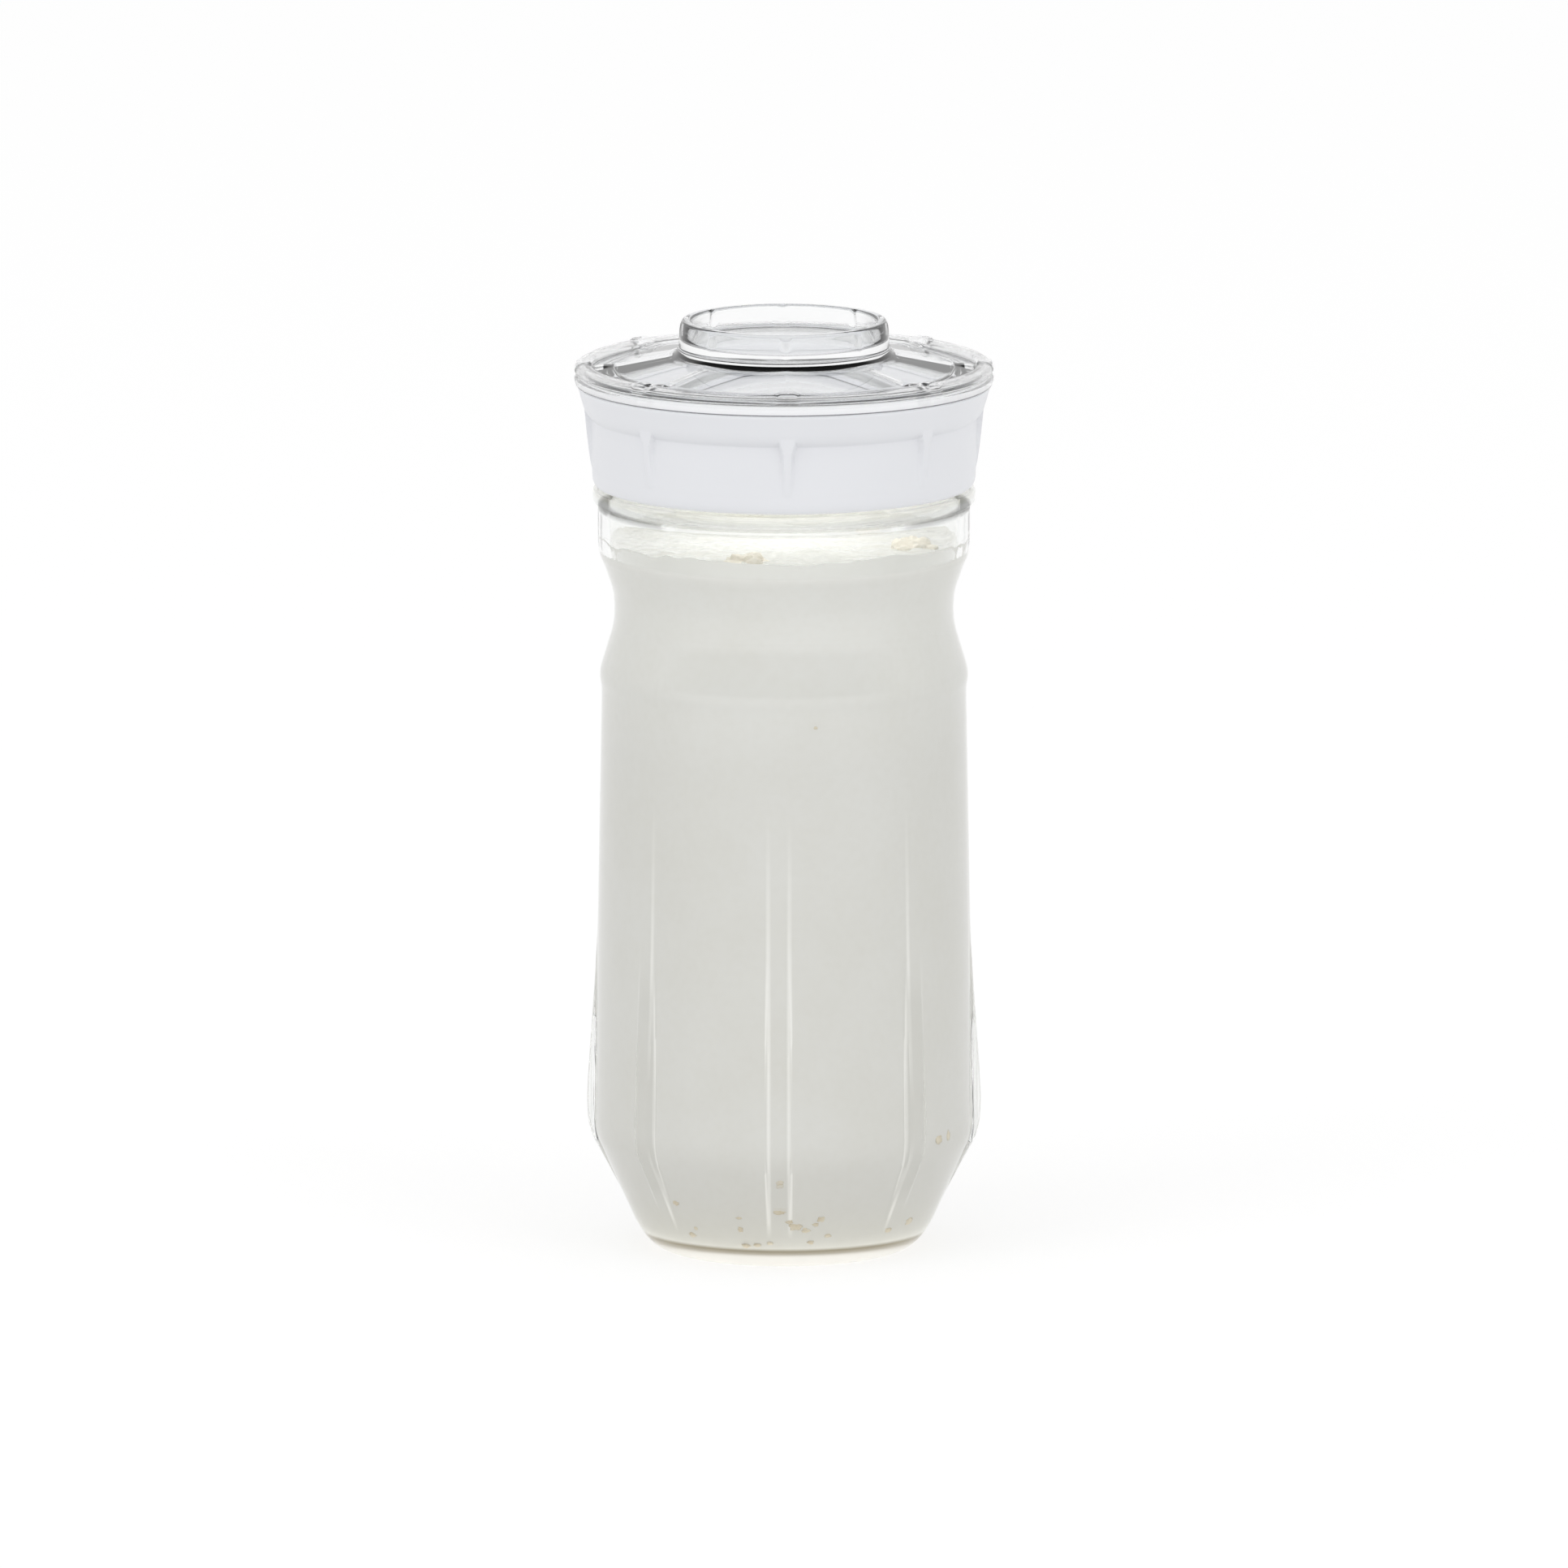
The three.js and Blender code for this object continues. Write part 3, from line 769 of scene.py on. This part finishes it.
def make_soft_ring(name, low, high, easing, body, stands_for, material):
    """A silicone ring between two corners of radius and height."""
    (r0, z0), (r1, z1) = low, high
    outline = rounded([(r0, z0, easing), (r1, z0, easing), (r1, z1, easing), (r0, z1, easing)])
    mesh = turned(name, outline, True, even_angles(160))
    finish_mesh(name, mesh, body, stands_for, material)


def slot_loop(middle, turn, half):
    """Points of a curved slot with round ends."""
    loop = []
    radius = SLOT_WIDTH / 2
    for side, first, last, cap in ((radius, -half, half, 0.0), (-radius, half, -half, -math.pi)):
        for k in range(13):
            a = turn + first + (last - first) * k / 12
            loop.append(((middle + side) * math.cos(a), (middle + side) * math.sin(a)))
        end = turn + last
        x, y = middle * math.cos(end), middle * math.sin(end)
        for k in range(1, 6):
            a = end + cap + math.pi * k / 6
            loop.append((x + radius * math.cos(a), y + radius * math.sin(a)))
    return loop


def make_strainer(material):
    """Slotted plate with eased edges."""
    curve = bpy.data.curves.new("strainer_outline", "CURVE")
    curve.dimensions = "2D"
    curve.fill_mode = "BOTH"
    curve.extrude = (STRAINER_THICK / 2 - STRAINER_EASING) * MM
    curve.bevel_depth = STRAINER_EASING * MM
    curve.bevel_resolution = 2
    curve.offset = -STRAINER_EASING * MM
    loops = [[(STRAINER_RADIUS * math.cos(a), STRAINER_RADIUS * math.sin(a)) for a in even_angles(160)]]
    for middle, count in SLOT_ROWS:
        half = math.pi / count - (SLOT_BRIDGE + SLOT_WIDTH) / middle / 2
        loops += [slot_loop(middle, turn, half) for turn in even_angles(count)]
    for loop in loops:
        spline = curve.splines.new("POLY")
        spline.points.add(len(loop) - 1)
        for point, (x, y) in zip(spline.points, loop):
            point.co = (x * MM, y * MM, 0, 1)
        spline.use_cyclic_u = True
    drawn = bpy.data.objects.new("strainer_outline", curve)
    bpy.context.scene.collection.objects.link(drawn)
    bpy.context.view_layer.update()
    mesh = bpy.data.meshes.new_from_object(drawn.evaluated_get(bpy.context.evaluated_depsgraph_get()))
    mesh.name = "strainer_plate"
    mesh.materials.clear()
    bpy.data.objects.remove(drawn)
    shape = bmesh.new()
    shape.from_mesh(mesh)
    bmesh.ops.remove_doubles(shape, verts=shape.verts, dist=1e-6)
    bmesh.ops.translate(shape, verts=shape.verts, vec=Vector((0, 0, STRAINER_MIDDLE)) * MM)
    shape.to_mesh(mesh)
    shape.free()
    finish_mesh("strainer_plate", mesh, "strainer", "strainer_disc", material, 50)


def make_ring(material):
    """White lid ring with its drop-shaped ribs, inner thread and upstand."""
    outline = [(SKIRT_BORE, LID_LOW + 0.5)]
    bend(outline, (SKIRT_BORE, LID_LOW), (SKIRT_BORE + 0.5, LID_LOW), 4)
    outline.append((49.3, LID_LOW))
    bend(outline, (LEDGE_RADIUS, 205.75), (LEDGE_RADIUS, 209.2), 10)
    outline.append((51.2, 223.7))
    bend(outline, (51.2, 223.9), (51.4, 224.1), 4)
    bend(outline, (53.0, 225.5), (53.65, 228.0), 12)
    outline.append((54.8, 232.0))
    bend(outline, (54.9, LID_TOP), (54.4, LID_TOP), 4)
    outline.append((54.1, LID_TOP))
    bend(outline, (UPSTAND_RADIUS, LID_TOP), (UPSTAND_RADIUS, LID_TOP + 0.3), 3)
    outline.append((UPSTAND_RADIUS, UPSTAND_TOP - 0.4))
    bend(outline, (UPSTAND_RADIUS, UPSTAND_TOP), (UPSTAND_RADIUS - 0.4, UPSTAND_TOP), 4)
    outline.append((UPSTAND_BORE + 0.4, UPSTAND_TOP))
    bend(outline, (UPSTAND_BORE, UPSTAND_TOP), (UPSTAND_BORE, UPSTAND_TOP - 0.4), 4)
    outline.append((UPSTAND_BORE, LID_TOP + 0.3))
    bend(outline, (UPSTAND_BORE, LID_TOP), (UPSTAND_BORE - 0.3, LID_TOP), 3)
    outline.append((PLUG_BORE + 0.5, LID_TOP))
    bend(outline, (PLUG_BORE, LID_TOP), (PLUG_BORE, LID_TOP - 0.5), 4)
    outline.append((PLUG_BORE, WEB_TOP + 0.5))
    bend(outline, (PLUG_BORE, WEB_TOP), (PLUG_BORE - 0.5, WEB_TOP), 4)
    outline.append((WEB_BORE + 0.5, WEB_TOP))
    bend(outline, (WEB_BORE, WEB_TOP), (WEB_BORE, WEB_TOP - 0.5), 4)
    outline.append((WEB_BORE, WEB_LOW + 0.4))
    bend(outline, (WEB_BORE, WEB_LOW), (WEB_BORE + 0.4, WEB_LOW), 4)
    outline.append((SKIRT_BORE, WEB_LOW))
    outline = spaced(outline, 0.55, True)

    def shape(r, z, angle):
        if r > 50.5 and 207 < z < 227.4:
            up = (z - LID_RIB_LOW) / (LID_RIB_TOP - LID_RIB_LOW)
            if up > 0:
                # A drop that gets wider and stands out further upwards, with a steep flank and a gentle skirt
                off = from_rib(angle, LID_TURN) * r
                crest = LID_RIB_HEIGHT * min(1.0, up) ** 0.7
                core = 0.75 + 0.3 * up + 1.1 * ease((z - 219.5) / 6.5) ** 2
                steep = 0.82 * ease((core + 0.9 - off) / 1.05)
                gentle = 0.18 * ease((core + 4.6 - off) / 4.2) ** 2
                r = max(r, LEDGE_RADIUS + 0.05 + crest * (steep + gentle))
        elif r < 48.5 and 207 < z < 223:
            r -= LID_THREAD_DEPTH * thread(z, angle, LID_THREAD_LOW, LID_THREAD_TURNS)
        return r, z

    mesh = turned("lid_body", outline, True, rib_angles(LID_TURN, 12, 14, math.radians(6.2)), shape)
    finish_mesh("lid_body", mesh, "ring", "lid_ring", material)


# Clear cover

def flange_at(r):
    """Height of the flange in the middle of a panel."""
    return FLANGE_TOP[1] - (r - FLANGE_TOP[0]) * FLANGE_SLOPE


def under_flange(r):
    """Height of the flange's underside."""
    return flange_at(r) - FLANGE_WALL


def make_cover(material):
    """Clear cover: recess, ring, sloping panels that crease in line with the ribs, rim and plug skirt."""
    outline = rounded(
        [
            (0.0, RECESS_FLOOR, 0),
            (0.0, RECESS_UNDER, 0),
            (28.4, RECESS_UNDER, 0.5),
            (30.5, under_flange(30.5), 0.4),
            (PLUG_INNER, under_flange(PLUG_INNER), 0.5),
            (PLUG_INNER, PLUG_LOW, 0.6),
            (PLUG_RADIUS, PLUG_LOW, 0.6),
            (PLUG_RADIUS, under_flange(PLUG_RADIUS), 0.4),
            (CHANNEL_INNER, under_flange(BORDER_RADIUS), 0.3),
            (CHANNEL_INNER, CHANNEL_TOP, 0.95),
            (CHANNEL_OUTER, CHANNEL_TOP, 0.95),
            (CHANNEL_OUTER, RIM_LOW, 0.3),
            (RIM_RADIUS, RIM_LOW, 0.3),
            (RIM_RADIUS, 234.7, 0.2),
            (RIM_GROOVE, 235.05, 0.15),
            (RIM_GROOVE, 235.8, 0.15),
            (RIDGE_RADIUS, 236.1, 0.15),
            (RIDGE_RADIUS, RIDGE_TOP, 2.2),
            (BORDER_RADIUS, RIDGE_TOP, 2.2),
            (BORDER_RADIUS, flange_at(BORDER_RADIUS), 0.6),
            (31.0, flange_at(31.0), 1.2),
            (28.5, 241.1, 1.8),
            (27.9, 244.5, 0.8),
            (RING_RADIUS, RING_TOP, 0.8),
            (RING_BORE, RING_TOP, 0.8),
            (RING_BORE, RECESS_FLOOR, 1.0),
        ]
    )
    start = outline.index((0.0, RECESS_UNDER))
    outline = spaced(outline[start:] + outline[:start], 0.7)

    def shape(r, z, angle):
        turn = from_rib(angle, LID_TURN)
        off = turn * r
        rib = ease((3.5 - off) / 2.0)
        in_channel = 52.0 <= r <= 54.3 and z <= 237.6
        # The flange is flat between two ribs
        if 28.6 < r < 51.5 and flange_at(r) - 0.6 < z:
            above = min(1.0, max(0.0, (z - flange_at(r)) / 2.4))
            lift = ease((r - 28.6) / 2.5) * (flange_at(r * math.cos(STEP / 2 - turn)) - flange_at(r))
            z += lift * (1 - above)
        # The rim rises and stands out at each rib
        if not in_channel and r > 44.0 and z > 235.2:
            z += 0.6 * rib * ease((z - 235.2) / 2.5) * ease((r - 44.0) / 6.0)
        if r > 54.5 and z > 233.2:
            r += 0.34 * rib * ease((z - 233.2) / 1.0)
        # The ring has a slight edge above each rib
        if 27.0 < r < 29.0 and 241.0 < z < 249.6:
            r += 0.25 * ease((2.0 - off) / 1.8) * ease((249.6 - z) / 0.8) * ease((z - 243.5) / 4.5)
        return r, z

    mesh = turned("cover_shell", outline, False, rib_angles(LID_TURN, 11, 16, math.radians(5.2)), shape)
    finish_mesh("cover_shell", mesh, "cover", "top_cover", material)


# Stage

def make_floor():
    """White floor that keeps a faint shadow and throws light up through the foot."""
    mesh = bpy.data.meshes.new("floor")
    mesh.from_pydata([(-6, -12, 0), (6, -12, 0), (6, 6, 0), (-6, 6, 0)], [], [(0, 1, 2, 3)])
    floor = bpy.data.objects.new("floor", mesh)
    bpy.context.scene.collection.objects.link(floor)
    floor.location.z = -0.0001
    material, tree, main = shader("floor_paper")
    main.inputs["Roughness"].default_value = 0.9
    main.inputs["Specular IOR Level"].default_value = 0.0
    tone = ramp(tree, speckle(tree, 3), [(0.3, grey(0.20)), (0.7, grey(0.22))])
    tree.links.new(tone, main.inputs["Base Color"])
    main.inputs["Emission Color"].default_value = (1, 1, 1, 1)
    out, _ = own_place(tree)
    # Painted light: for light that bounces, the floor glows, brightest under the foot, and lights the foot and
    # kefir from below
    tree.links.new(between(tree, out, 34, 44, 1.9, 0.6), main.inputs["Emission Strength"])
    glow = tree.nodes.new("ShaderNodeEmission")
    glow.inputs["Strength"].default_value = 0.575
    soft = tree.nodes.new("ShaderNodeBsdfDiffuse")
    soft.inputs["Color"].default_value = (0.5, 0.5, 0.5, 1)
    both = tree.nodes.new("ShaderNodeAddShader")
    tree.links.new(glow.outputs[0], both.inputs[0])
    tree.links.new(soft.outputs[0], both.inputs[1])
    mix = either(tree, seen_ray(tree), main, both)
    tree.links.new(mix.outputs[0], tree.nodes["Material Output"].inputs["Surface"])
    mesh.materials.append(material)


def make_world():
    """White background, soft daylight, and a room that shows only in gloss and through clear pieces."""
    world = bpy.data.worlds.new("studio")
    bpy.context.scene.world = world
    world.use_nodes = True
    tree = world.node_tree
    light = tree.nodes["Background"]
    light.inputs["Strength"].default_value = 1.0
    white = tree.nodes.new("ShaderNodeBackground")
    white.inputs["Color"].default_value = (1, 1, 1, 1)
    white.inputs["Strength"].default_value = 1.0
    place = tree.nodes.new("ShaderNodeTexCoord")
    split = tree.nodes.new("ShaderNodeSeparateXYZ")
    tree.links.new(place.outputs["Generated"], split.inputs[0])
    back = mapped(tree, split.outputs["Y"], -1.0, 1.0, 0.0, 1.0)
    soft = ramp(tree, back, [(0.0, grey(0.92)), (1.0, grey(0.70))])
    tree.links.new(soft, light.inputs["Color"])
    # The room is dark overhead and, behind the camera, above the horizon
    room = tree.nodes.new("ShaderNodeBackground")
    base = ramp(tree, back, [(0.0, (0.96, 0.96, 0.97)), (0.7, WHITE)])
    overhead = ramp(tree, split.outputs["Z"], [(0.55, WHITE), (0.66, grey(0.2))])
    above = ramp(tree, split.outputs["Z"], [(0.08, WHITE), (0.3, grey(0.02))])
    front = mapped(tree, split.outputs["Y"], -0.6, -0.1, 1.0, 0.0)
    tone = toned(tree, mixed(tree, "MULTIPLY", front, base, above), overhead)
    tree.links.new(tone, room.inputs["Color"])
    path = tree.nodes.new("ShaderNodeLightPath").outputs
    shown = either(tree, path["Is Camera Ray"], room, white)
    mix = either(tree, seen_ray(tree), light, shown)
    tree.links.new(mix.outputs[0], tree.nodes["World Output"].inputs["Surface"])


def place_in_scene(made, place, way):
    """Puts a lamp or camera in the scene, facing a way."""
    made.location = place
    made.rotation_mode = "QUATERNION"
    made.rotation_quaternion = way.to_track_quat("-Z", "Y")
    bpy.context.scene.collection.objects.link(made)


def lamp(name, place, aim, width, watts):
    """A square lamp that doesn't show in gloss or glass."""
    data = bpy.data.lights.new(name, "AREA")
    data.shape = "RECTANGLE"
    data.size, data.size_y = width, width
    data.energy = watts
    made = bpy.data.objects.new(name, data)
    made.visible_glossy = False
    made.visible_transmission = False
    place_in_scene(made, place, Vector(aim) - Vector(place))


def make_camera():
    """Long lens, a little above the jar and to its right."""
    data = bpy.data.cameras.new("camera")
    data.sensor_width = 36
    data.lens = 689.7
    data.clip_start, data.clip_end = 0.1, 40
    camera = bpy.data.objects.new("camera", data)
    rise, round_by, far = math.radians(10.1), math.radians(1.7), 8.0
    level = math.cos(rise)
    back = Vector((math.sin(round_by) * level, -math.cos(round_by) * level, math.sin(rise)))
    aim = Vector((0, 0, 0.1246))
    place_in_scene(camera, aim + back * far, -back)
    bpy.context.scene.camera = camera


make_camera()
make_world()
make_floor()
JAR_MIDDLE = (0, 0, 0.12)
lamp("key", (-1.6, -1.5, 1.6), JAR_MIDDLE, 1.4, 7)
lamp("fill", (1.7, -1.6, 1.2), JAR_MIDDLE, 1.4, 5.6)
lamp("headspace", (0, 0, 0.2205), JAR_MIDDLE, 0.056, 0.018)

jar_glass = clear("jar_glass", (0.985, 0.992, 0.984), 0.006, jar_straight, thick=203.4)
clear_plastic = clear("clear_plastic", (0.985, 0.988, 0.99), 0.010, cover_straight, foot=233.25)
white_plastic = plastic_material()
silicone = silicone_material()
grain = grain_material("kefir_grain", (0.88, 0.84, 0.74), (0.78, 0.72, 0.60))

make_jar(jar_glass)
make_milk(milk_material())
make_grain(1, grain)
make_grain(2, grain)
make_crumbs(grain_material("kefir_crumb", (0.74, 0.68, 0.54), (0.58, 0.50, 0.36)))
make_soft_ring("gasket_ring", (43.0, 222.3), (46.2, 224.0), 0.5, "gasket", "lid_gasket", silicone)
make_strainer(white_plastic)
make_ring(white_plastic)
make_soft_ring("seal_ring", (47.8, 228.9), (49.7, 232.2), 0.8, "seal", "cover_seal", silicone)
make_cover(clear_plastic)

bpy.context.scene.view_settings.view_transform = "Standard"
